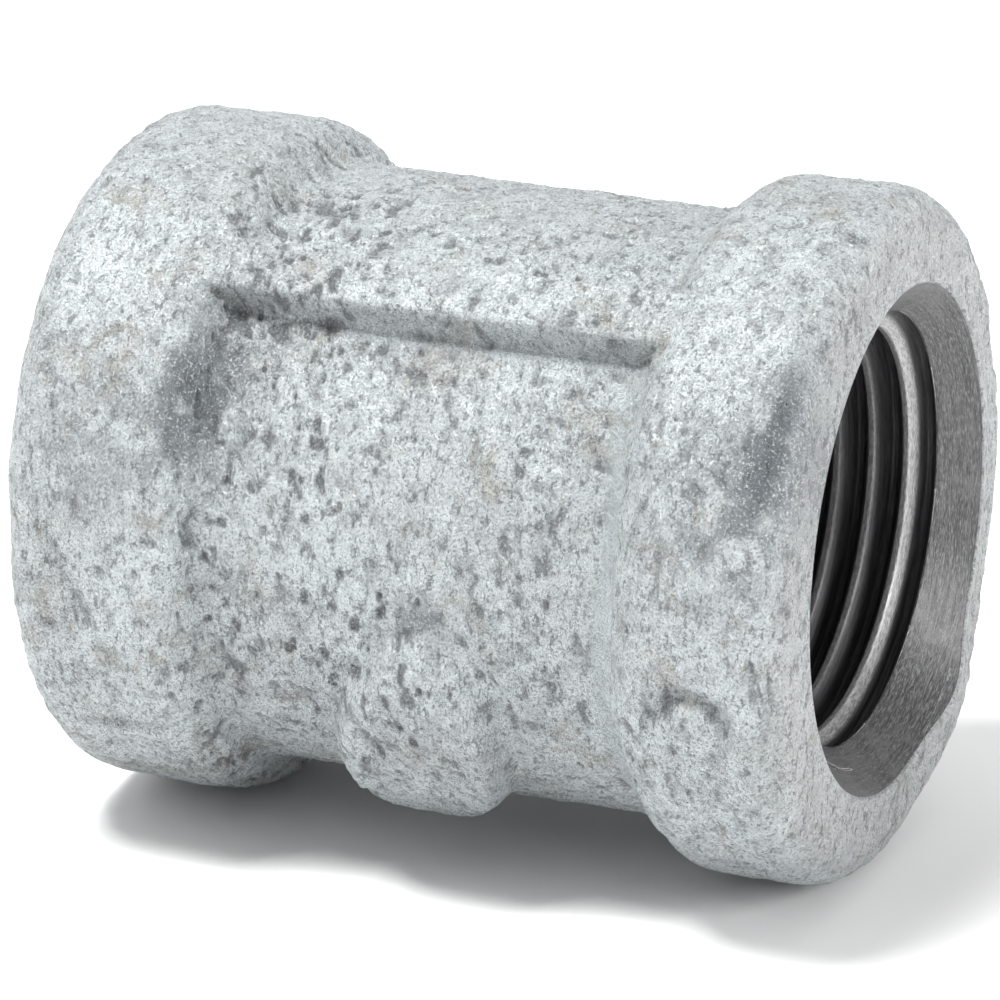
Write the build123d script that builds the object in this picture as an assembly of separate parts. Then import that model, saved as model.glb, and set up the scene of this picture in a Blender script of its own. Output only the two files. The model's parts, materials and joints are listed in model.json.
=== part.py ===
from build123d import *
from build123d.topology import SkipClean
from math import acos, cos, degrees, radians, sin, sqrt, tan
import os

# Galvanised malleable-iron pipe socket, 3/8 inch, right-hand parallel threads at both ends.
#
# Frame: the fitting's axis is X, with the near end at +X. Z is up and -Y is the front.
# The origin is on the axis, midway between the two end faces. Units are millimetres.
# Each sub-part is one material body: the iron casting and the two zinc coats on it.

# overall
LENGTH = 30.0  # over the zinc on both end faces
ZINC = 0.09  # hot-dip coat
NEAR_BAND_DIA = 25.2
FAR_BAND_DIA = 25.0
WAIST_DIA = 22.1
NEAR_BAND_WIDTH = 4.7  # full-diameter part, end face to start of the shoulder
FAR_BAND_WIDTH = 5.8
NEAR_CORNER = 1.7  # rounding of the band into its end face
FAR_CORNER = 1.9
SHOULDER_ROUND = 2.0  # convex rounding of a band's inner edge
SHOULDER_FILLET = 0.6  # concave rounding into the waist

# 3/8 parallel pipe thread, 19 threads per inch, 55 degree form
MINOR_DIA = 14.95
MAJOR_DIA = 16.662
PITCH = 25.4 / 19
FLANK_ANGLE = 27.5
THREAD_LENGTH = 11.4  # end face to the start of the recess
THREAD_RUN_OUT = 0.5  # how far a groove runs on into the recess
TURNS_OUTSIDE = 2.5  # turns between the groove's free start and the first crest
CREST_OVERLAP = 0.12  # how far the groove's cutter stands clear of the crests
FIRST_CREST_DEPTH = 2.45  # crest depth on the +Y side of each mouth
MOUTH_DIA = 18.54  # countersink at the end face
MOUTH_HALF_ANGLE = 45.0

# cored recess between the two threads
RECESS_DIA = 17.2
RECESS_LEAD = 1.1

# two ribs on the mould's parting line
RIB_ANGLE = 53.0  # from the front towards the top
RIB_TOP_RADIUS = 12.35
RIB_TOP_WIDTH = 2.2
RIB_ROOT_WIDTH = 2.8
RIB_ROOT_DEPTH = 1.5  # how far the rib's foot is sunk under the waist
RIB_TOP_ROUND = 0.5
RIB_REACH = 10.2

# broken-off gate stub on the waist
GATE_ANGLE = -40.0
GATE_X = 0.3
GATE_LENGTH = 7.2
GATE_GIRTH = 13.2
GATE_RADIUS = 12.2
GATE_ROUND = 0.6

# round mark on the near band: a ring groove round a small pad
MARK_ANGLE = -16.0
MARK_X = 11.6
MARK_OUTER_DIA = 3.3
MARK_INNER_DIA = 2.3
MARK_DEPTH = 0.3

CORE_HALF_LENGTH = LENGTH / 2 - ZINC
CLEAR = 1.0  # how far a cutter stands out of the metal


def arc(centre, radius, start, end):
    """Arc about a centre from one angle to another, in degrees, in the XY sketch plane."""
    points = []
    for angle in (start, (start + end) / 2, end):
        turn = radians(angle)
        points.append((centre[0] + radius * cos(turn), centre[1] + radius * sin(turn)))
    return ThreePointArc(*points)


def shoulder(band_radius, waist_radius, start_x, side, grow):
    """The S-shaped step from a band (full until start_x) to the waist, band first."""
    height = band_radius - waist_radius
    reach = SHOULDER_ROUND + SHOULDER_FILLET
    run = sqrt(2 * height * reach - height**2)
    lean = degrees(acos((reach - height) / reach))
    top = (side * start_x, band_radius - SHOULDER_ROUND)
    foot = (side * (start_x - run), waist_radius + SHOULDER_FILLET)
    convex = arc(top, SHOULDER_ROUND + grow, 90, 90 + side * lean)
    concave = arc(foot, SHOULDER_FILLET - grow, -90 + side * lean, -90)
    return convex, concave


def turned_outside(grow):
    """The plain turned shape: two bands, their rounded corners and the waist between them."""
    half = CORE_HALF_LENGTH + grow
    near = NEAR_BAND_DIA / 2 - ZINC
    far = FAR_BAND_DIA / 2 - ZINC
    waist = WAIST_DIA / 2 - ZINC
    near_x = LENGTH / 2 - NEAR_BAND_WIDTH
    far_x = LENGTH / 2 - FAR_BAND_WIDTH
    near_corner_at = (CORE_HALF_LENGTH - NEAR_CORNER, near - NEAR_CORNER)
    far_corner_at = (-CORE_HALF_LENGTH + FAR_CORNER, far - FAR_CORNER)
    far_corner = arc(far_corner_at, FAR_CORNER + grow, 180, 90)
    near_corner = arc(near_corner_at, NEAR_CORNER + grow, 90, 0)
    far_convex, far_concave = shoulder(far, waist, far_x, -1, grow)
    near_convex, near_concave = shoulder(near, waist, near_x, 1, grow)
    outline = [
        Line((-half, 0), far_corner @ 0),
        far_corner,
        Line(far_corner @ 1, far_convex @ 0),
        far_convex,
        far_concave,
        Line(far_concave @ 1, near_concave @ 1),
        near_concave,
        near_convex,
        Line(near_convex @ 0, near_corner @ 0),
        near_corner,
        Line(near_corner @ 1, (half, 0)),
        Line((half, 0), (-half, 0)),
    ]
    return revolve(make_face(Wire.combine(outline)[0]), Axis.X)


def round_the_axis(angle):
    """Local plane with its Z pointing out from the axis at an angle from the front to the top."""
    turn = radians(angle)
    return Plane(origin=(0, 0, 0), x_dir=(1, 0, 0), z_dir=(0, -cos(turn), sin(turn)))


def rib(angle, grow):
    """Straight rib joining the two bands, slightly lower than they are."""
    top = RIB_TOP_RADIUS - ZINC + grow
    root = WAIST_DIA / 2 - RIB_ROOT_DEPTH
    half_top = RIB_TOP_WIDTH / 2 - ZINC + grow
    half_root = RIB_ROOT_WIDTH / 2 - ZINC + grow
    section = Polyline((-half_root, root), (-half_top, top), (half_top, top), (half_root, root), close=True)
    bar = extrude(Plane.YZ * make_face(section), RIB_REACH, both=True)
    bar = fillet(bar.edges().filter_by(Axis.X).sort_by(Axis.Z)[-2:], RIB_TOP_ROUND + grow)
    return Rot(90 - angle, 0, 0) * bar


def gate_stub(grow):
    """Low oblong lump where the gate was broken off the waist."""
    plane = round_the_axis(GATE_ANGLE)
    length = GATE_LENGTH - 2 * ZINC + 2 * grow
    girth = GATE_GIRTH - 2 * ZINC + 2 * grow
    pillar = extrude(plane * Pos(GATE_X, 0, 0) * Ellipse(length / 2, girth / 2), LENGTH / 2)
    limit = Rot(0, 90, 0) * Cylinder(GATE_RADIUS - ZINC + grow, LENGTH)
    stub = pillar & limit
    top = stub.faces().sort_by(Axis(plane.origin, plane.z_dir))[-1]
    return fillet(top.edges(), GATE_ROUND + grow)


def ring_mark(grow):
    """Cutter for the ring groove on the near band."""
    plane = round_the_axis(MARK_ANGLE)
    floor = NEAR_BAND_DIA / 2 - ZINC - MARK_DEPTH + grow
    ring = Circle(MARK_OUTER_DIA / 2 - grow) - Circle(MARK_INNER_DIA / 2 + grow)
    return extrude(plane * Pos(MARK_X, 0, floor) * ring, MARK_DEPTH + CLEAR)


def outside(grow):
    """The whole outside of the fitting as a solid, grown by a coat thickness."""
    body = turned_outside(grow)
    body += rib(RIB_ANGLE, grow)
    body += rib(RIB_ANGLE + 180, grow)
    body += gate_stub(grow)
    return body - ring_mark(grow)


def along_x(shape):
    """Turn a shape built along Z to lie along X."""
    return Rot(0, 90, 0) * shape


def countersink(side):
    """Cone that opens one mouth."""
    hole = MINOR_DIA / 2
    mouth = MOUTH_DIA / 2
    slope = tan(radians(MOUTH_HALF_ANGLE))
    sunk = (mouth - hole) / slope
    face = LENGTH / 2
    outline = Polyline(
        (side * (face + CLEAR), 0),
        (side * (face + CLEAR), mouth + CLEAR * slope),
        (side * (face - sunk), hole),
        (side * (face - sunk), 0),
        close=True,
    )
    return revolve(make_face(outline), Axis.X)


def recess():
    """Cored recess between the threads, with a coned lead at each end."""
    half = LENGTH / 2 - THREAD_LENGTH
    hole = MINOR_DIA / 2
    wall = RECESS_DIA / 2
    outline = Polyline(
        (-half, 0),
        (-half, hole),
        (-half + RECESS_LEAD, wall),
        (half - RECESS_LEAD, wall),
        (half, hole),
        (half, 0),
        close=True,
    )
    return revolve(make_face(outline), Axis.X)


def thread_groove(side):
    """One right-hand helical groove, from outside the mouth to inside the recess."""
    crest = MINOR_DIA / 2
    root = MAJOR_DIA / 2
    root_half = PITCH / 12
    lip_half = root_half + (root - crest + CREST_OVERLAP) * tan(radians(FLANK_ANGLE))
    start = FIRST_CREST_DEPTH - TURNS_OUTSIDE * PITCH
    finish = THREAD_LENGTH + RECESS_LEAD + THREAD_RUN_OUT
    profile = Polyline(
        (crest - CREST_OVERLAP, start - lip_half),
        (root, start - root_half),
        (root, start + root_half),
        (crest - CREST_OVERLAP, start + lip_half),
        close=True,
    )
    path = Pos(0, 0, start) * Helix(PITCH, finish - start, crest)
    groove = sweep(Plane.XZ * make_face(profile), path, is_frenet=True)
    mouth = Plane(origin=(side * LENGTH / 2, 0, 0), x_dir=(0, 1, 0), z_dir=(-side, 0, 0))
    return mouth * groove


def quartered(body):
    """The same solid with its faces parted along the XY and XZ planes.

    A thread crest is one long helical face. Parting it gives short faces a quarter turn long.
    """
    halves = [split(body, Plane.XY, keep=side) for side in (Keep.TOP, Keep.BOTTOM)]
    quarters = [split(half, Plane.XZ, keep=side) for half in halves for side in (Keep.TOP, Keep.BOTTOM)]
    with SkipClean():
        return quarters[0].fuse(*quarters[1:])


def iron_casting():
    """The casting: drilled, tapped from both ends, recessed and countersunk."""
    body = outside(0) - along_x(Cylinder(MINOR_DIA / 2, LENGTH + 2 * CLEAR))
    for side in (1, -1):
        body -= thread_groove(side)
    body -= recess()
    for side in (1, -1):
        body -= countersink(side)
    return quartered(body)


def zinc_outer_skin():
    """Zinc over the outside and the end faces, cut through at the two mouths."""
    return outside(ZINC) - outside(0) - countersink(1) - countersink(-1)


def zinc_waist_lining():
    """Zinc left on the wall of the recess, where the tap does not reach."""
    wall = RECESS_DIA / 2
    span = 2 * (LENGTH / 2 - THREAD_LENGTH - RECESS_LEAD)
    return along_x(Cylinder(wall, span) - Cylinder(wall - ZINC, span + CLEAR))


def as_solid(shape):
    """The single solid of a result."""
    (solid,) = shape.solids()
    return solid


os.makedirs("parts", exist_ok=True)
export_step(as_solid(iron_casting()), "parts/iron_casting.step")
export_step(as_solid(zinc_outer_skin()), "parts/zinc_outer_skin.step")
export_step(as_solid(zinc_waist_lining()), "parts/zinc_waist_lining.step")
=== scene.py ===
import json
from math import cos, pi, radians, sin, tan

import bmesh
import bpy
import numpy as np
from mathutils import Matrix, Vector


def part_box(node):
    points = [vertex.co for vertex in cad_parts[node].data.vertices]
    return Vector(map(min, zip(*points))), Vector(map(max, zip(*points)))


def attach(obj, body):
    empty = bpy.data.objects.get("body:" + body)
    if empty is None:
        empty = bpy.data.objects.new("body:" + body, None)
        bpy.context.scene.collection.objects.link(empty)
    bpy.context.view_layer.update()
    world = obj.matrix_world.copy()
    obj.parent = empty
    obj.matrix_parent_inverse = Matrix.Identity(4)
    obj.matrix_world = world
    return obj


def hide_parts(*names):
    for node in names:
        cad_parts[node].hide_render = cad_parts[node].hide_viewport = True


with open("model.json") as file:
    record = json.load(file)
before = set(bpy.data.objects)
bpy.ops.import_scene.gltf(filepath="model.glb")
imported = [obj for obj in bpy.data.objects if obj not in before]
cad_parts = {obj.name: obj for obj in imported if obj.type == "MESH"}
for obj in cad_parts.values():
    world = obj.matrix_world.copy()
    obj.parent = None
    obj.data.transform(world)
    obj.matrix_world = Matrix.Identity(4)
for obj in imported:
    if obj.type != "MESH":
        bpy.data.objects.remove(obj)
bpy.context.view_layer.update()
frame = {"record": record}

# Galvanised malleable-iron pipe socket. The bore axis is X, the near mouth faces +X.
# Lengths here are in millimetres and become metres when a mesh is made.

MM = 0.001
MOUNTS = {m["name"]: m for m in frame["record"]["mounts"]}

# ---------------------------------------------------------------- sizes, from the frame
skin_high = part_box("zinc_outer_skin")[1]
iron_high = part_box("iron_casting")[1]
lining_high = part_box("zinc_waist_lining")[1]
HALF_LENGTH = skin_high.x / MM
NEAR_BAND = skin_high.z / MM
ZINC = (skin_high.x - iron_high.x) / MM
RECESS = lining_high.z / MM
RECESS_HALF = lining_high.x / MM
CREST = MOUNTS["near_thread"]["dims"]["r_mm"]

# ---------------------------------------------------------------- outside shape
FAR_BAND = 12.5
WAIST = 11.05
NEAR_BAND_WIDTH = 4.7
FAR_BAND_WIDTH = 5.8
NEAR_CORNER = 1.7
FAR_CORNER = 1.9
SHOULDER_ROUND = 2.0
SHOULDER_FILLET = 0.6
MOUTH = 9.27
MOUTH_HALF_ANGLE = 45.0

RIB_ANGLE = 53.0
RIB_TOP = 12.35
RIB_HALF_WIDTH = 1.25
RIB_SIDE = 0.28

GATE_ANGLE = -40.0
GATE_X = 0.3
GATE_HALF_LENGTH = 3.6
GATE_HALF_GIRTH = 6.6
GATE_TOP = 12.2

MARK_ANGLE = -16.0
MARK_X = 11.6
MARK_RING = 1.4
MARK_GROOVE = 0.32
MARK_GROOVE_DEPTH = 0.3
MARK_PAD_HEIGHT = 0.12

LIP_ANGLE = -127.0
LIP_SPREAD = 13.0
LIP_HEIGHT = 0.35

SLIT_ANGLE = -36.0
SLIT_X = -10.5
SLIT_HALF_LENGTH = 1.6
SLIT_DEPTH = 0.28
SLIT_BURR = 0.12

# thick shiny zinc on the outside, its colour a painted dark reflection: share, middle along X, angle, half
# length, half angle
GLOSSY_AND_REFLECTION_PATCHES = (
    (1.0, -7.6, 30, 1.6, 17),
    (1.0, 14.0, 35, 1.1, 15),
    (0.65, 12.2, 20, 2.4, 16),
    (0.5, -11.0, 17, 2.2, 14),
    (0.8, 1.2, -6.5, 1.9, 3.2),
    (0.7, 2.5, 205, 4.0, 16),
    (0.6, -11.5, 150, 2.0, 12),
)

# cast texture: how far each kind of unevenness rises or sinks
RELIEF_DEPTH = 0.1
LUMP_HEIGHT = 0.12
KNOB_HEIGHT = 0.06
GRAIN_HEIGHT = 0.09
WIDE_DENT_DEPTH = 0.075
SMALL_DENT_DEPTH = 0.10
CORNER_DIP = 0.16

# ---------------------------------------------------------------- thread, 3/8 parallel pipe thread
PITCH = 25.4 / 19
ROOT = 8.331
THREAD_LENGTH = 11.4
RECESS_LEAD = 1.1
FIRST_CREST_DEPTH = 2.45

# ---------------------------------------------------------------- mesh fineness
COLUMNS = 800
ROW_STEP = 0.1
BORE_COLUMNS = 256
COAT_DEPTH = 0.6
ROWS_PER_PITCH = 28


# ================================================================ noise
def hashed(ix, iy, iz, seed):
    """A repeatable value from 0 to 1 for each lattice point."""
    n = ix * 374761393 + iy * 668265263 + iz * 2147483647 + seed * 1274126177
    n = (n ^ (n >> 13)) * 1274126177
    n = n ^ (n >> 16)
    return (n & 0xFFFFFF) / float(0xFFFFFF)


def value_noise(points, scale, seed):
    """Smooth noise from -1 to 1 at each point, with features about scale wide."""
    p = points / scale
    cell = np.floor(p).astype(np.int64)
    f = p - cell
    w = f * f * f * (f * (f * 6 - 15) + 10)
    total = 0.0
    for dx in (0, 1):
        for dy in (0, 1):
            for dz in (0, 1):
                share = (
                    (w[:, 0] if dx else 1 - w[:, 0])
                    * (w[:, 1] if dy else 1 - w[:, 1])
                    * (w[:, 2] if dz else 1 - w[:, 2])
                )
                total = total + share * hashed(cell[:, 0] + dx, cell[:, 1] + dy, cell[:, 2] + dz, seed)
    return total * 2 - 1


def layered_noise(points, scale, seed, layers=3, keep=0.5):
    """Several layers of value noise, each half the size of the one before."""
    total = 0.0
    weight = 1.0
    norm = 0.0
    for n in range(layers):
        total = total + weight * value_noise(points, scale / 2**n, seed + 17 * n)
        norm += weight
        weight *= keep
    return total / norm


def smooth(low, high, value):
    """0 below low, 1 above high, and an even S between."""
    t = np.clip((value - low) / (high - low), 0, 1)
    return t * t * (3 - 2 * t)


def soft_max(a, b, blend):
    """The larger of two heights, rounded over where they meet."""
    t = np.clip(0.5 + 0.5 * (a - b) / blend, 0, 1)
    return b + (a - b) * t + blend * t * (1 - t)


def turn_from(angle, centre):
    """Signed angle in radians from a centre given in degrees, in -pi to pi."""
    return (angle - radians(centre) + pi) % (2 * pi) - pi


# ================================================================ profile of the outside
def arc_points(centre, radius, start, end):
    """Points along an arc, from one angle to another in degrees, about ROW_STEP apart."""
    count = max(4, int(abs(radians(end - start)) * radius / ROW_STEP))
    turns = np.radians(np.linspace(start, end, count))
    return np.column_stack((centre[0] + radius * np.cos(turns), centre[1] + radius * np.sin(turns)))


def line_points(start, end):
    """Points along a straight line, about ROW_STEP apart."""
    length = float(np.hypot(end[0] - start[0], end[1] - start[1]))
    count = max(2, int(length / ROW_STEP))
    share = np.linspace(0, 1, count)[:, None]
    return np.array(start) * (1 - share) + np.array(end) * share


def shoulder_points(band, start_x, side):
    """The S-shaped step from a band down to the waist, band first."""
    height = band - WAIST
    reach = SHOULDER_ROUND + SHOULDER_FILLET
    run = (2 * height * reach - height**2) ** 0.5
    lean = np.degrees(np.arccos((reach - height) / reach))
    top = (side * start_x, band - SHOULDER_ROUND)
    foot = (side * (start_x - run), WAIST + SHOULDER_FILLET)
    convex = arc_points(top, SHOULDER_ROUND, 90, 90 + side * lean)
    concave = arc_points(foot, SHOULDER_FILLET, -90 + side * lean, -90)
    return np.vstack((convex, concave[1:]))


def outside_profile():
    """(x, radius) from the near mouth, over the outside, to the far mouth."""
    near_corner = (HALF_LENGTH - NEAR_CORNER, NEAR_BAND - NEAR_CORNER)
    far_corner = (-HALF_LENGTH + FAR_CORNER, FAR_BAND - FAR_CORNER)
    near = shoulder_points(NEAR_BAND, HALF_LENGTH - NEAR_BAND_WIDTH, 1)
    far = shoulder_points(FAR_BAND, HALF_LENGTH - FAR_BAND_WIDTH, -1)[::-1]
    near_arc = arc_points(near_corner, NEAR_CORNER, 0, 90)
    far_arc = arc_points(far_corner, FAR_CORNER, 90, 180)
    stretches = [
        line_points((HALF_LENGTH, MOUTH), near_arc[0]),
        near_arc,
        line_points(near_arc[-1], near[0]),
        near,
        line_points(near[-1], far[0]),
        far,
        line_points(far[-1], far_arc[0]),
        far_arc,
        line_points(far_arc[-1], (-HALF_LENGTH, MOUTH)),
    ]
    points = [stretches[0]] + [s[1:] for s in stretches[1:]]
    return np.vstack(points)


def profile_normals(profile):
    """Unit normals of the profile, pointing out of the metal."""
    along = np.gradient(profile, axis=0)
    along /= np.linalg.norm(along, axis=1)[:, None]
    return np.column_stack((-along[:, 1], along[:, 0])) * -1


# ================================================================ cast detail on the outside
def rib_height(radius, angle):
    """Radius of the two ribs' surface at each point, 0 away from them."""
    best = np.zeros_like(radius)
    for centre in (RIB_ANGLE, RIB_ANGLE + 180):
        across = np.abs(turn_from(angle, centre)) * RIB_TOP
        rise = 1 - smooth(RIB_HALF_WIDTH - RIB_SIDE, RIB_HALF_WIDTH + RIB_SIDE, across)
        best = np.maximum(best, WAIST - 0.4 + (RIB_TOP - WAIST + 0.4) * rise)
    return best


def gate_height(x, angle):
    """Radius of the broken gate stub's surface at each point."""
    around = turn_from(angle, GATE_ANGLE) * GATE_TOP
    lean = GATE_X + 0.14 * around
    away = np.sqrt(((x - lean) / GATE_HALF_LENGTH) ** 2 + (around / GATE_HALF_GIRTH) ** 2)
    rise = 1 - smooth(0.72, 1.08, away)
    return WAIST - 0.3 + (GATE_TOP - WAIST + 0.3) * rise


def mark_relief(x, angle):
    """Depth of the ring groove on the near band, and the low pad inside it."""
    across = turn_from(angle, MARK_ANGLE) * NEAR_BAND
    away = np.hypot(x - MARK_X, across)
    groove = np.exp(-(((away - MARK_RING) / MARK_GROOVE) ** 2))
    upper = 0.35 + 0.65 * smooth(-1.2, 0.8, across)
    pad = 1 - smooth(0.7, MARK_RING, away)
    return MARK_PAD_HEIGHT * pad - MARK_GROOVE_DEPTH * groove * upper


def slit_relief(x, angle):
    """A short cold-shut slit on the far band."""
    across = turn_from(angle, SLIT_ANGLE) * FAR_BAND - 0.12 * (x - SLIT_X)
    along = 1 - smooth(SLIT_HALF_LENGTH * 0.6, SLIT_HALF_LENGTH * 1.1, np.abs(x - SLIT_X))
    slit = np.exp(-((across / 0.2) ** 2))
    burr = np.exp(-(((across + 0.5) / 0.35) ** 2))
    return along * (SLIT_BURR * burr - SLIT_DEPTH * slit)


def dents(points, scale, seed, share):
    """Shallow dents with rounded edges: 0 on the open surface, towards 1 in the middle of a dent."""
    return smooth(share, share + 0.55, layered_noise(points, scale, seed, layers=2, keep=0.6))


def patch(x, angle, centre_x, centre_angle, half_x, half_angle):
    """1 in the middle of an oval patch on the outside, fading to 0 past its edges."""
    away_x = (x - centre_x) / half_x
    away_angle = np.degrees(turn_from(angle, centre_angle)) / half_angle
    return np.exp(-(away_x**2) - away_angle**2)


def pooled_zinc_and_crease_shade(x, angle):
    """1 in the creases where the zinc ran together and lies smooth; the material paints shade into these
    creases.
    """
    wander = 0.18 * np.sin(0.11 * np.degrees(turn_from(angle, 0)))
    height = np.degrees(turn_from(angle, 0))
    near_crease = np.exp(-(((x - 8.0 - wander) / 0.28) ** 2))
    near_crease = near_crease * smooth(-70, -30, height) * (1 - smooth(44, 50, height))
    under_rib = 0.0
    for centre in (RIB_ANGLE, RIB_ANGLE + 180):
        under_rib = under_rib + np.exp(-((np.degrees(turn_from(angle, centre - 7.6)) / 1.3) ** 2))
    under_rib = under_rib * smooth(-4.5, -1.5, x) * (1 - smooth(6.8, 8.0, x))
    return np.clip(near_crease + 0.8 * under_rib, 0, 1)


def glossy_and_reflection_patches(x, angle):
    """1 where the zinc is thick and shiny, and its colour is a painted dark reflection."""
    total = 0.0
    for share, centre_x, centre_angle, half_x, half_angle in GLOSSY_AND_REFLECTION_PATCHES:
        total = total + share * patch(x, angle, centre_x, centre_angle, half_x, half_angle)
    return np.clip(total, 0, 1)


def lip_height(angle):
    """How far the near end face bulges out beside its mouth."""
    away = np.degrees(turn_from(angle, LIP_ANGLE))
    return LIP_HEIGHT * np.exp(-((away / LIP_SPREAD) ** 2))


def corner_dip(x, angle):
    """How much lower two ends of the casting lie: the near one behind, the far one in front."""
    near = np.exp(-((np.degrees(turn_from(angle, 180)) / 45) ** 2)) * smooth(9, 13, x)
    far = np.exp(-((np.degrees(turn_from(angle, -12)) / 35) ** 2)) * smooth(9, 13, -x)
    return CORNER_DIP * (near + far)


def outside_grid():
    """Vertices of the outside as rows of rings, with how deep each lies in the cast texture, which the
    material paints as shade in the pits.
    """
    profile = outside_profile()
    normals = profile_normals(profile)
    angles = np.linspace(0, 2 * pi, COLUMNS, endpoint=False)
    x = np.repeat(profile[:, 0], COLUMNS)
    radius = np.repeat(profile[:, 1], COLUMNS)
    normal_x = np.repeat(normals[:, 0], COLUMNS)
    normal_r = np.repeat(normals[:, 1], COLUMNS)
    angle = np.tile(angles, len(profile))

    # the big features rise out of the waist
    middle = np.abs(x) < HALF_LENGTH - NEAR_BAND_WIDTH + 0.3
    raised = soft_max(radius, rib_height(radius, angle), 0.12)
    raised = soft_max(raised, gate_height(x, angle), 0.3)
    radius = np.where(middle, raised, radius)

    # cast unevenness, as metal added along the surface normal
    spot = np.column_stack((x, -radius * np.cos(angle), radius * np.sin(angle)))
    on_waist = 1 - smooth(7.6, 9.6, np.abs(x))
    side_wall = smooth(0.02, 0.3, np.abs(normal_r))
    upright = spot * np.array([1.25, 1.0, 0.7])
    lumps = LUMP_HEIGHT * layered_noise(spot, 5.5, 3)
    knobs = KNOB_HEIGHT * layered_noise(spot, 1.9, 11, layers=2)
    wide_dents = dents(upright, 0.95, 57, 0.12)
    small_dents = dents(upright, 0.44, 71, 0.06)
    grain = layered_noise(upright, 0.38, 23, layers=2, keep=0.6)
    patchy = 0.6 + 0.4 * smooth(-0.35, 0.35, layered_noise(spot, 5.0, 91, layers=2))
    pooled_and_crease_shade = pooled_zinc_and_crease_shade(x, angle)
    glossy_and_dark_reflection = glossy_and_reflection_patches(x, angle) * smooth(-0.5, 0.05, layered_noise(spot, 1.1, 113, layers=3))
    rough = patchy * (0.75 + 0.5 * on_waist) * (1 - 0.75 * pooled_and_crease_shade) * (1 - 0.45 * glossy_and_dark_reflection)
    cast = GRAIN_HEIGHT * grain - WIDE_DENT_DEPTH * wide_dents - SMALL_DENT_DEPTH * small_dents
    relief = lumps + knobs + rough * cast
    relief = relief + mark_relief(x, angle) * (x > 0) * side_wall
    relief = relief + slit_relief(x, angle) * (x < 0) * side_wall

    # the machined mouth edge is true, so the relief dies away there
    to_mouth = np.hypot(np.abs(x) - HALF_LENGTH, radius - MOUTH)
    end_face = 1 - side_wall
    relief = relief * (1 - 0.55 * end_face) - RELIEF_DEPTH - corner_dip(x, angle)
    relief = relief * smooth(-0.25, 1.3, to_mouth)
    lip = lip_height(angle) * smooth(11.5, 14.6, x)
    radius = radius + lip * (1 - smooth(0, 1.6, to_mouth))
    x = x + lip

    x = x + normal_x * relief
    radius = radius + normal_r * relief
    rows = np.column_stack((x, -radius * np.cos(angle), radius * np.sin(angle)))
    # painted shade in the dents, darkest in the small ones and lifted on the grain
    pit_shade_and_specks = np.clip((0.25 * wide_dents + 0.75 * small_dents - 0.35 * grain) * rough, 0, 1)
    # darker specks along the crease below the rib, towards the far end
    under_rib = patch(x, angle, -4.5, RIB_ANGLE - 7.5, 3.0, 2.0) * smooth(-0.2, 0.3, grain + knobs)
    pit_shade_and_specks = np.clip(pit_shade_and_specks + 0.6 * under_rib, 0, 1)
    return rows.reshape(len(profile), COLUMNS, 3), pit_shade_and_specks, glossy_and_dark_reflection, pooled_and_crease_shade


# ================================================================ meshes
def make_mesh(name, points, faces):
    """A smooth-shaded mesh object in metres from points in millimetres."""
    mesh = bpy.data.meshes.new(name)
    mesh.from_pydata((np.asarray(points) * MM).tolist(), [], faces)
    mesh.update()
    mesh.shade_smooth()
    piece = bpy.data.objects.new(name, mesh)
    bpy.context.scene.collection.objects.link(piece)
    return piece


def store(piece, name, values):
    """Keep one number for each vertex, for the material to read."""
    layer = piece.data.attributes.new(name, "FLOAT", "POINT")
    layer.data.foreach_set("value", np.asarray(values, dtype=np.float32))


def band_faces(rings):
    """Quads between each ring of vertex numbers and the next, closed round the axis."""
    upper, lower = rings[:-1], rings[1:]
    quads = np.stack((upper, np.roll(upper, -1, axis=1), np.roll(lower, -1, axis=1), lower), axis=-1)
    return quads.reshape(-1, 4).tolist()


def signed_volume(points, faces):
    """Six times the enclosed volume, negative when the faces point inwards."""
    quads = np.array(faces)
    a, b, c, d = (points[quads[:, n]] for n in range(4))
    return float((np.cross(a, b) * c).sum() + (np.cross(a, c) * d).sum())


def hidden_half(band, width, gap):
    """Coarse (x, radius) points of the hidden surface under one band, mouth first."""
    lip = MOUTH - ZINC * tan(radians(MOUTH_HALF_ANGLE))
    end = HALF_LENGTH - ZINC
    deep = COAT_DEPTH + gap
    start = HALF_LENGTH - width + COAT_DEPTH / 2
    return [
        (end, lip),
        (end - deep, lip + deep),
        (end - deep, band - FAR_CORNER),
        (end - 3 * deep, band - deep),
        (start, band - deep),
        (start - 4 * COAT_DEPTH, WAIST - deep),
    ]


def inner_profile(gap):
    """Hidden surface between the coat and the iron, from the far mouth to the near one."""
    far = [(-x, r) for x, r in hidden_half(FAR_BAND, FAR_BAND_WIDTH, gap)]
    near = hidden_half(NEAR_BAND, NEAR_BAND_WIDTH, gap)
    return far + near[::-1]


def ring_points(profile, columns):
    """Rings of points round the axis, one for each (x, radius)."""
    angles = np.linspace(0, 2 * pi, columns, endpoint=False)
    rows = []
    for x, r in profile:
        rows.append(np.column_stack((np.full(columns, x), -r * np.cos(angles), r * np.sin(angles))))
    return np.array(rows)


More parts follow.
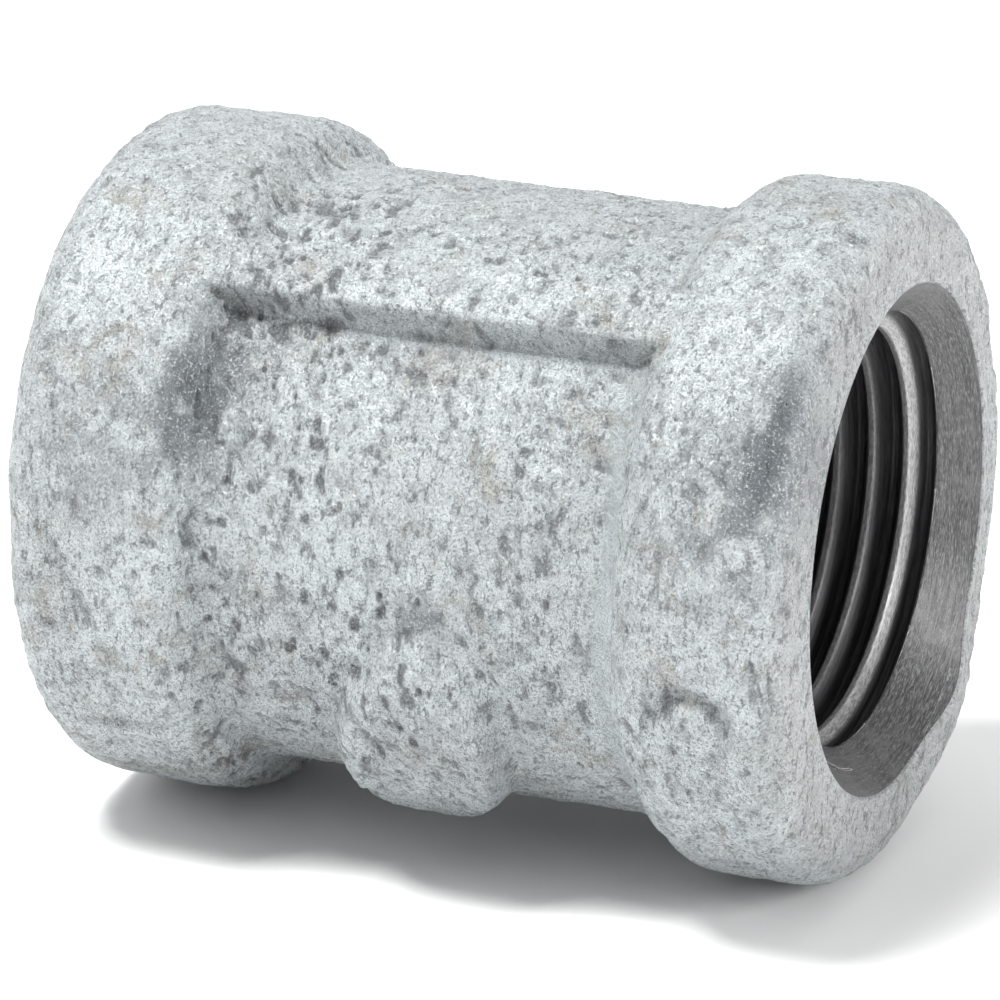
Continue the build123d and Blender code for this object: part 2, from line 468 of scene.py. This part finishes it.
def zinc_coat():
    """The whole cast outside with its zinc, as a closed shell open at the two mouths."""
    outer, pit_shade_and_specks, glossy_and_dark_reflection, pooled_and_crease_shade = outside_grid()
    hidden = ring_points(inner_profile(0.0), COLUMNS)
    points = np.vstack((outer.reshape(-1, 3), hidden.reshape(-1, 3)))
    rings = np.arange(len(points)).reshape(-1, COLUMNS)
    rings = np.vstack((rings, rings[:1]))
    faces = band_faces(rings)
    if signed_volume(points, faces) < 0:
        faces = [face[::-1] for face in faces]
    coat = make_mesh("zinc_coat", points, faces)
    unseen = np.zeros(hidden.shape[0] * COLUMNS)
    store(coat, "pit_shade_and_specks", np.concatenate((pit_shade_and_specks, unseen)))
    store(coat, "glossy_and_dark_reflection", np.concatenate((glossy_and_dark_reflection, unseen)))
    store(coat, "pooled_and_crease_shade", np.concatenate((pooled_and_crease_shade, unseen)))
    return coat


def flank_share(phase):
    """0 on a crest, 1 in a root, for a distance along the axis from a crest's middle."""
    away = np.abs((phase + PITCH / 2) % PITCH - PITCH / 2)
    return np.clip((away - PITCH / 12) / (PITCH / 3), 0, 1)


def bare_and_painted_light_share(depth, phase, share, on_cone):
    """How bare the iron is and how much painted light it gets: the bare countersink, painted highlights on
    the rubbed crests, and painted light on the first lit flank; what is left gets painted shade.
    """
    # painted highlight on the rubbed crests, fading deeper into the bore
    crest = (1 - smooth(0.0, 0.12, share)) * (0.55 - 0.2 * smooth(2.8, 5.0, depth))
    facing = ((phase + PITCH / 2) % PITCH - PITCH / 2) < 0
    # painted light on the first flank that faces the mouth
    first = (1 - smooth(0.25, 0.75, share)) * facing * (1 - smooth(2.75, 2.95, depth))
    # fainter painted light on the mouth-facing flanks further in
    deeper = 0.25 * (1 - smooth(0.0, 0.8, share)) * facing
    crest = np.maximum(crest, deeper)
    return np.where(on_cone, 1.0, np.maximum(crest, 0.8 * first))


def threaded_grid(side):
    """One tapped end from its mouth to the recess. The rows follow the helix."""
    turn = np.linspace(0, 2 * pi, BORE_COLUMNS, endpoint=False)
    start = ZINC - (lip_height(turn + pi) if side > 0 else 0 * turn)
    end = THREAD_LENGTH
    step = PITCH / ROWS_PER_PITCH
    count = int((end - start.min() + PITCH) / step) + 2
    begin = start.min() - PITCH + step * np.arange(count)
    free = begin[:, None] + PITCH * turn[None, :] / (2 * pi)
    depth = np.clip(free, start[None, :], end)
    phase = depth - FIRST_CREST_DEPTH - PITCH * turn[None, :] / (2 * pi)
    cone = MOUTH - depth * tan(radians(MOUTH_HALF_ANGLE))
    share = flank_share(phase)
    thread = CREST + (ROOT - CREST) * share
    radius = np.maximum(thread, cone)
    tone = bare_and_painted_light_share(depth, phase, share, cone > thread)
    wear = np.column_stack((depth.ravel(), (radius * np.cos(turn)).ravel(), (radius * np.sin(turn)).ravel()))
    radius = radius + 0.012 * layered_noise(wear, 0.9, 7 + side, layers=3).reshape(radius.shape)
    points = np.stack(
        (side * (HALF_LENGTH - depth), radius * np.cos(turn), -side * radius * np.sin(turn)), axis=-1
    )

    # rows held at an end share one vertex in each column
    first = (free <= start[None, :]).sum(axis=0) - 1
    last = count - (free >= end).sum(axis=0)
    row = np.arange(count)[:, None]
    kept = np.clip(row, np.maximum(first, 0)[None, :], last[None, :])
    number = kept * BORE_COLUMNS + np.arange(BORE_COLUMNS)[None, :]
    wrapped = number[np.minimum(np.arange(count) + ROWS_PER_PITCH, count - 1), 0]
    following = np.column_stack((number[:, 1:], wrapped))
    quads = np.stack((number[:-1], following[:-1], following[1:], number[1:]), axis=-1).reshape(-1, 4)
    return points.reshape(-1, 3), quads, number[0], number[-1], tone.ravel()


def bare_iron():
    """Countersinks, threads, recess walls and the hidden outside of the casting, as one closed solid."""
    near_points, near_quads, near_mouth, near_end, near_tone = threaded_grid(1)
    far_points, far_quads, far_mouth, far_end, far_tone = threaded_grid(-1)
    shift = len(near_points)
    mirrored = (-np.arange(BORE_COLUMNS)) % BORE_COLUMNS
    turn = np.linspace(0, 2 * pi, BORE_COLUMNS, endpoint=False)

    def joined(profile, first, last, base):
        """Rings through a profile, between two rings that are there already."""
        rows = []
        for x, r in profile:
            rows.append(np.column_stack((np.full(BORE_COLUMNS, x), r * np.cos(turn), r * np.sin(turn))))
        numbers = base + np.arange(len(rows) * BORE_COLUMNS).reshape(-1, BORE_COLUMNS)
        return np.vstack(rows), band_faces(np.vstack((first[None, :], numbers, last[None, :])))

    lead = HALF_LENGTH - THREAD_LENGTH - RECESS_LEAD
    recess = [(lead, RECESS), (-lead, RECESS)]
    base = shift + len(far_points)
    recess_points, recess_faces = joined(recess, near_end[mirrored], far_end + shift, base)
    hidden = inner_profile(0.03)[1:-1]
    base += len(recess_points)
    hidden_points, hidden_faces = joined(hidden, far_mouth + shift, near_mouth[mirrored], base)

    points = np.vstack((near_points, far_points, recess_points, hidden_points))
    quads = near_quads.tolist() + (far_quads + shift).tolist() + recess_faces + hidden_faces
    faces = [list(dict.fromkeys(quad)) for quad in quads]
    faces = [face for face in faces if len(face) > 2]
    used = np.unique(np.concatenate([np.array(face) for face in faces]))
    renumber = np.full(len(points), -1)
    renumber[used] = np.arange(len(used))
    faces = [renumber[face].tolist() for face in faces]
    casting = make_mesh("bare_iron", points[used], faces)
    tone = np.concatenate((near_tone, far_tone, np.zeros(len(points) - shift - len(far_points))))
    store(casting, "bright", tone[used])
    face_outwards(casting.data)
    return casting


def face_outwards(mesh):
    """Make every face of a closed mesh point out of it."""
    work = bmesh.new()
    work.from_mesh(mesh)
    bmesh.ops.recalc_face_normals(work, faces=work.faces)
    work.to_mesh(mesh)
    work.free()


def waist_lining():
    """The dull zinc left on the cored wall between the threads."""
    columns = 192
    bare = RECESS
    across = np.linspace(-RECESS_HALF, RECESS_HALF, 26)
    profile = [(x, bare - ZINC) for x in across] + [(RECESS_HALF, bare), (-RECESS_HALF, bare)]
    points = ring_points(profile, columns).reshape(-1, 3)
    inside = np.arange(len(points)) < 26 * columns
    edge = 1 - smooth(RECESS_HALF - 0.4, RECESS_HALF, np.abs(points[:, 0]))
    lift = 0.05 * layered_noise(points, 1.2, 131) * edge * inside
    points[:, 1:] *= (1 - np.abs(lift) / bare)[:, None]
    rings = np.arange(len(points)).reshape(-1, columns)
    faces = band_faces(np.vstack((rings, rings[:1])))
    lining = make_mesh("waist_zinc", points, faces)
    face_outwards(lining.data)
    return lining


# ================================================================ materials
KHAKI_STAIN = (0.42, 0.40, 0.33, 1)
END_FACE_GREY = (0.68, 0.68, 0.67, 1)
GLOSSY_PAINTED_DARK_REFLECTION = (0.16, 0.18, 0.195, 1)
PIT_SHADE_AND_SPECK_DARK = (0.14, 0.15, 0.16, 1)
FLECK_PAINTED_SHADE = (0.18, 0.195, 0.205, 1)
GLINT_PALE = (0.95, 0.97, 0.98, 1)
GLINT_SHADE = (0.24, 0.255, 0.265, 1)
POOLED_CREASE_SHADE_GREY = (0.56, 0.61, 0.64, 1)

TURNED_DARK = (0.075, 0.075, 0.077, 1)
TURNED_PALE = (0.14, 0.14, 0.142, 1)
SPECKLE_PALE = (0.27, 0.27, 0.27, 1)
SPECKLE_DARK = (0.04, 0.04, 0.041, 1)
BLOTCH_GREY = (0.20, 0.197, 0.194, 1)
ROOT_PAINTED_SHADE_DARK = (0.045, 0.042, 0.047, 1)
ROOT_PAINTED_SHADE_PALE = (0.10, 0.097, 0.10, 1)
WORN_HIGHLIGHT_DARK = (0.30, 0.30, 0.30, 1)
WORN_HIGHLIGHT_PALE = (0.56, 0.56, 0.56, 1)

FLOOR_PALE = (0.93, 0.93, 0.93, 1)
FLOOR_WHITE = (0.96, 0.96, 0.96, 1)


class Nodes:
    """Short ways to add shader nodes to one material."""

    def __init__(self, name):
        self.material = bpy.data.materials.new(name)
        self.material.use_nodes = True
        self.tree = self.material.node_tree
        self.shader = self.tree.nodes["Principled BSDF"]
        self.place = self.add("ShaderNodeTexCoord").outputs["Object"]

    def add(self, kind, **settings):
        node = self.tree.nodes.new(kind)
        for key, value in settings.items():
            setattr(node, key, value)
        return node

    def put(self, socket, value):
        """Link a socket to another, or give it a plain value."""
        if isinstance(value, bpy.types.NodeSocket):
            self.tree.links.new(value, socket)
        else:
            socket.default_value = value

    def noise(self, size, detail=3.0, roughness=0.55, distortion=0.0, place=None):
        """Noise from 0 to 1 with features about size millimetres wide."""
        node = self.add("ShaderNodeTexNoise")
        self.put(node.inputs["Vector"], place or self.place)
        node.inputs["Scale"].default_value = 1 / (size * MM)
        node.inputs["Detail"].default_value = detail
        node.inputs["Roughness"].default_value = roughness
        node.inputs["Distortion"].default_value = distortion
        return node.outputs["Fac"]

    def stretched(self, across, along, upright):
        """Object coordinates with each axis scaled, for marks that are longer one way."""
        node = self.add("ShaderNodeMapping")
        self.put(node.inputs["Vector"], self.place)
        node.inputs["Scale"].default_value = (across, along, upright)
        return node.outputs["Vector"]

    def track(self, x, y, z):
        """A vector put together from three sockets."""
        node = self.add("ShaderNodeCombineXYZ")
        self.put(node.inputs["X"], x)
        self.put(node.inputs["Y"], y)
        self.put(node.inputs["Z"], z)
        return node.outputs["Vector"]

    def ramp(self, value, low, high, start=0.0, end=1.0):
        node = self.add("ShaderNodeMapRange", interpolation_type="SMOOTHSTEP")
        self.put(node.inputs["Value"], value)
        node.inputs["From Min"].default_value = low
        node.inputs["From Max"].default_value = high
        node.inputs["To Min"].default_value = start
        node.inputs["To Max"].default_value = end
        return node.outputs["Result"]

    def math(self, operation, a, b=0.0):
        node = self.add("ShaderNodeMath", operation=operation)
        self.put(node.inputs[0], a)
        self.put(node.inputs[1], b)
        return node.outputs["Value"]

    def mix(self, share, a, b):
        node = self.add("ShaderNodeMix", data_type="RGBA")
        self.put(node.inputs["Factor"], share)
        self.put(node.inputs["A"], a)
        self.put(node.inputs["B"], b)
        return node.outputs["Result"]

    def attribute(self, name):
        return self.add("ShaderNodeAttribute", attribute_name=name).outputs["Fac"]

    def bump(self, height, distance, strength=1.0, under=None):
        node = self.add("ShaderNodeBump")
        self.put(node.inputs["Height"], height)
        node.inputs["Distance"].default_value = distance * MM
        node.inputs["Strength"].default_value = strength
        if under is not None:
            self.put(node.inputs["Normal"], under)
        return node.outputs["Normal"]

    def finish(self, colour, roughness, metallic, normal):
        self.put(self.shader.inputs["Base Color"], colour)
        self.put(self.shader.inputs["Roughness"], roughness)
        self.put(self.shader.inputs["Metallic"], metallic)
        self.put(self.shader.inputs["Normal"], normal)
        return self.material


def zinc_material(name, pale, grey, dirt):
    """Hot-dip zinc over rough iron: pale bluish grey with faint khaki stains, painted shade in the pits,
    flecks and smooth creases, painted glints, and a painted dark reflection on the thick shiny patches.
    """
    n = Nodes(name)
    upright = n.stretched(1.3, 1.0, 0.65)
    cloud = n.noise(4.5, detail=4, roughness=0.6)
    mottle = n.noise(0.95, detail=6, roughness=0.75)
    fleck = n.noise(0.30, detail=5, roughness=0.72, place=upright)
    glint = n.noise(0.10, detail=3, roughness=0.7)
    split = n.add("ShaderNodeSeparateXYZ")
    n.put(split.inputs["Vector"], n.place)
    end_face = n.ramp(n.math("ABSOLUTE", split.outputs["X"]), 0.0143, 0.0149)
    glossy_and_dark_reflection = n.attribute("glossy_and_dark_reflection")
    pooled_and_crease_shade = n.attribute("pooled_and_crease_shade")
    colour = n.mix(n.ramp(mottle, 0.44, 0.66), pale, grey)
    colour = n.mix(n.math("MULTIPLY", n.ramp(cloud, 0.50, 0.70), 0.3), colour, dirt)
    stain = n.noise(2.4, detail=5, roughness=0.75, distortion=0.6)
    colour = n.mix(n.math("MULTIPLY", n.ramp(stain, 0.54, 0.68), 0.6), colour, KHAKI_STAIN)
    colour = n.mix(n.math("MULTIPLY", end_face, 0.5), colour, END_FACE_GREY)
    # painted dark reflection on the thick shiny patches
    colour = n.mix(n.math("MULTIPLY", glossy_and_dark_reflection, 0.95), colour, GLOSSY_PAINTED_DARK_REFLECTION)
    # painted shade in the pits, with the darker specks below the rib
    pit_shade_share = n.ramp(n.attribute("pit_shade_and_specks"), 0.10, 0.75)
    colour = n.mix(n.math("MULTIPLY", pit_shade_share, 0.7), colour, PIT_SHADE_AND_SPECK_DARK)
    quiet = n.math("SUBTRACT", 1.0, n.math("MULTIPLY", pooled_and_crease_shade, 0.8))
    # painted shade: dark flecks standing in for the shaded sides of the fine dents
    dark = n.math("MULTIPLY", n.ramp(fleck, 0.54, 0.61), n.math("MULTIPLY", quiet, 0.7))
    colour = n.mix(dark, colour, FLECK_PAINTED_SHADE)
    light = n.math("MULTIPLY", n.ramp(glint, 0.54, 0.63), n.math("MULTIPLY", quiet, 0.5))
    colour = n.mix(light, colour, GLINT_PALE)
    shade = n.math("MULTIPLY", n.ramp(glint, 0.46, 0.38), n.math("MULTIPLY", quiet, 0.6))
    colour = n.mix(shade, colour, GLINT_SHADE)
    # painted shade in the smooth creases where the zinc ran together
    colour = n.mix(n.math("MULTIPLY", pooled_and_crease_shade, 0.5), colour, POOLED_CREASE_SHADE_GREY)
    roughness = n.math("ADD", n.ramp(mottle, 0.3, 0.7, 0.38, 0.54), n.ramp(fleck, 0.4, 0.7, 0.0, 0.12))
    roughness = n.math("SUBTRACT", roughness, n.math("MULTIPLY", glossy_and_dark_reflection, 0.14))
    first = n.bump(fleck, 0.7, 1.0)
    second = n.bump(glint, 0.22, 1.0, under=first)
    metallic = n.math("ADD", n.ramp(cloud, 0.3, 0.7, 0.45, 0.25), n.math("MULTIPLY", glossy_and_dark_reflection, 0.45))
    return n.finish(colour, roughness, metallic, second)


def iron_material():
    """Machined bare iron: fine broken rings left by the tool, painted shade in the thread roots, and painted
    highlights on the rubbed crests and the first flank.
    """
    n = Nodes("machined_iron")
    split = n.add("ShaderNodeSeparateXYZ")
    n.put(split.inputs["Vector"], n.place)
    axis_x, side_y, side_z = split.outputs
    squares = n.math("ADD", n.math("MULTIPLY", side_y, side_y), n.math("MULTIPLY", side_z, side_z))
    radius = n.math("SQRT", squares)
    around = n.math("ARCTAN2", side_z, side_y)
    short_track = n.track(radius, n.math("MULTIPLY", around, 0.0016), axis_x)
    long_track = n.track(radius, n.math("MULTIPLY", around, 0.0004), axis_x)
    speckle = n.noise(0.055, detail=2, roughness=0.7, place=short_track)
    streak = n.noise(0.10, detail=3, roughness=0.7, place=long_track)
    blotch = n.noise(1.8, detail=4, roughness=0.65)
    # bare countersink, with painted light on crests and flanks and painted shade in the roots
    bright = n.attribute("bright")
    metal = n.mix(n.ramp(streak, 0.3, 0.7), TURNED_DARK, TURNED_PALE)
    metal = n.mix(n.math("MULTIPLY", n.ramp(speckle, 0.50, 0.70), 0.7), metal, SPECKLE_PALE)
    metal = n.mix(n.math("MULTIPLY", n.ramp(speckle, 0.50, 0.32), 0.6), metal, SPECKLE_DARK)
    metal = n.mix(n.math("MULTIPLY", n.ramp(blotch, 0.52, 0.72), 0.4), metal, BLOTCH_GREY)
    # painted shade in the thread roots and flanks
    dark = n.mix(n.ramp(streak, 0.35, 0.7), ROOT_PAINTED_SHADE_DARK, ROOT_PAINTED_SHADE_PALE)
    colour = n.mix(n.ramp(bright, 0.0, 1.0), dark, metal)
    # rubbed crests with a painted highlight, and painted light on the first flank
    worn_and_highlight = n.mix(n.ramp(speckle, 0.35, 0.65), WORN_HIGHLIGHT_DARK, WORN_HIGHLIGHT_PALE)
    colour = n.mix(n.math("MULTIPLY", n.ramp(bright, 0.1, 0.8), n.ramp(bright, 0.98, 0.85)), colour, worn_and_highlight)
    roughness = n.ramp(speckle, 0.3, 0.7, 0.36, 0.55)
    first = n.bump(speckle, 0.03, 0.7)
    return n.finish(colour, roughness, n.ramp(bright, 0.0, 1.0, 0.3, 0.75), first)


def floor_material():
    """Plain pale studio floor with a trace of unevenness."""
    n = Nodes("studio_floor")
    haze = n.noise(60, detail=2)
    colour = n.mix(haze, FLOOR_PALE, FLOOR_WHITE)
    return n.finish(colour, 0.9, 0.0, n.bump(haze, 0.05, 0.1))


# ================================================================ light, floor and camera
CAMERA_TURN = 22.91
CAMERA_RISE = 19.55
CAMERA_AWAY = 226.4
CAMERA_RIGHT = -0.36
CAMERA_UP = -0.51
CAMERA_LENS = 224.8
SENSOR_WIDTH = 36

KEY_SIZE = 120
SIDE_SIZE = 160
LIGHT_AWAY = 420
KEY_POWER = 2.3
SIDE_POWER = 1.1
ROOM_BRIGHT = 0.95
ROOM_DARK = 0.22
ROOM_DARK_SIDE = (0.80, -0.55, -0.15)
ROOM_FADE = 0.9

FLOOR_REACH = 1500
FLOOR_GAP = 0.02


def view_axes(turn, rise):
    """Unit vectors back towards the camera, to its right and up, for a turn and rise in degrees."""
    a, e = radians(turn), radians(rise)
    back = Vector((sin(a) * cos(e), -cos(a) * cos(e), sin(e)))
    right = Vector((cos(a), sin(a), 0))
    return back, right, back.cross(right)


def add_camera():
    back, right, up = view_axes(CAMERA_TURN, CAMERA_RISE)
    data = bpy.data.cameras.new("camera")
    data.lens = CAMERA_LENS
    data.sensor_width = SENSOR_WIDTH
    data.clip_start = 0.01
    data.clip_end = 20
    camera = bpy.data.objects.new("camera", data)
    spot = (back * CAMERA_AWAY + right * CAMERA_RIGHT + up * CAMERA_UP) * MM
    turned = Matrix((right, up, back)).transposed().to_4x4()
    camera.matrix_world = Matrix.Translation(spot) @ turned
    bpy.context.scene.collection.objects.link(camera)
    bpy.context.scene.camera = camera


def add_area_light(name, turn, rise, size, power):
    """A square soft light aimed at the origin. The size is in millimetres."""
    back, right, up = view_axes(turn, rise)
    data = bpy.data.lights.new(name, "AREA")
    data.shape = "SQUARE"
    data.size = size * MM
    data.energy = power
    light = bpy.data.objects.new(name, data)
    turned = Matrix((right, up, back)).transposed().to_4x4()
    light.matrix_world = Matrix.Translation(back * LIGHT_AWAY * MM) @ turned
    bpy.context.scene.collection.objects.link(light)


def add_world(bright, dark):
    """A white room that grows darker to the front and right of the object."""
    world = bpy.data.worlds.new("studio")
    world.use_nodes = True
    tree = world.node_tree
    backdrop = tree.nodes["Background"]
    backdrop.inputs["Color"].default_value = (1, 1, 1, 1)
    place = tree.nodes.new("ShaderNodeTexCoord")
    towards = tree.nodes.new("ShaderNodeVectorMath")
    towards.operation = "DOT_PRODUCT"
    towards.inputs[1].default_value = Vector(ROOM_DARK_SIDE).normalized()
    fade = tree.nodes.new("ShaderNodeMapRange")
    fade.interpolation_type = "SMOOTHSTEP"
    fade.inputs["From Min"].default_value = -ROOM_FADE
    fade.inputs["From Max"].default_value = ROOM_FADE
    fade.inputs["To Min"].default_value = bright
    fade.inputs["To Max"].default_value = dark
    tree.links.new(place.outputs["Generated"], towards.inputs[0])
    tree.links.new(towards.outputs["Value"], fade.inputs["Value"])
    tree.links.new(fade.outputs["Result"], backdrop.inputs["Strength"])
    bpy.context.scene.world = world


def add_floor():
    """A wide plain floor that the bands rest on."""
    reach = FLOOR_REACH
    level = -NEAR_BAND - FLOOR_GAP
    corners = [(-reach, -reach, level), (reach, -reach, level), (reach, reach, level), (-reach, reach, level)]
    floor = make_mesh("floor", corners, [(0, 1, 2, 3)])
    floor.data.materials.append(floor_material())


# ================================================================ the scene
coat = zinc_coat()
coat.data.materials.append(
    zinc_material("zinc_outside", (0.80, 0.855, 0.87, 1), (0.55, 0.585, 0.60, 1), (0.50, 0.51, 0.49, 1))
)
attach(coat, "root")
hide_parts("zinc_outer_skin")

casting = bare_iron()
casting.data.materials.append(iron_material())
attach(casting, "root")
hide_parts("iron_casting")

lining = waist_lining()
lining.data.materials.append(
    zinc_material("zinc_inside", (0.50, 0.52, 0.53, 1), (0.34, 0.35, 0.36, 1), (0.25, 0.25, 0.25, 1))
)
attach(lining, "root")
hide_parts("zinc_waist_lining")

add_floor()
add_camera()
add_world(ROOM_BRIGHT, ROOM_DARK)
add_area_light("key", -40, 68, KEY_SIZE, KEY_POWER)
add_area_light("side", 84, 22, SIDE_SIZE, SIDE_POWER)
bpy.context.scene.view_settings.view_transform = "Standard"
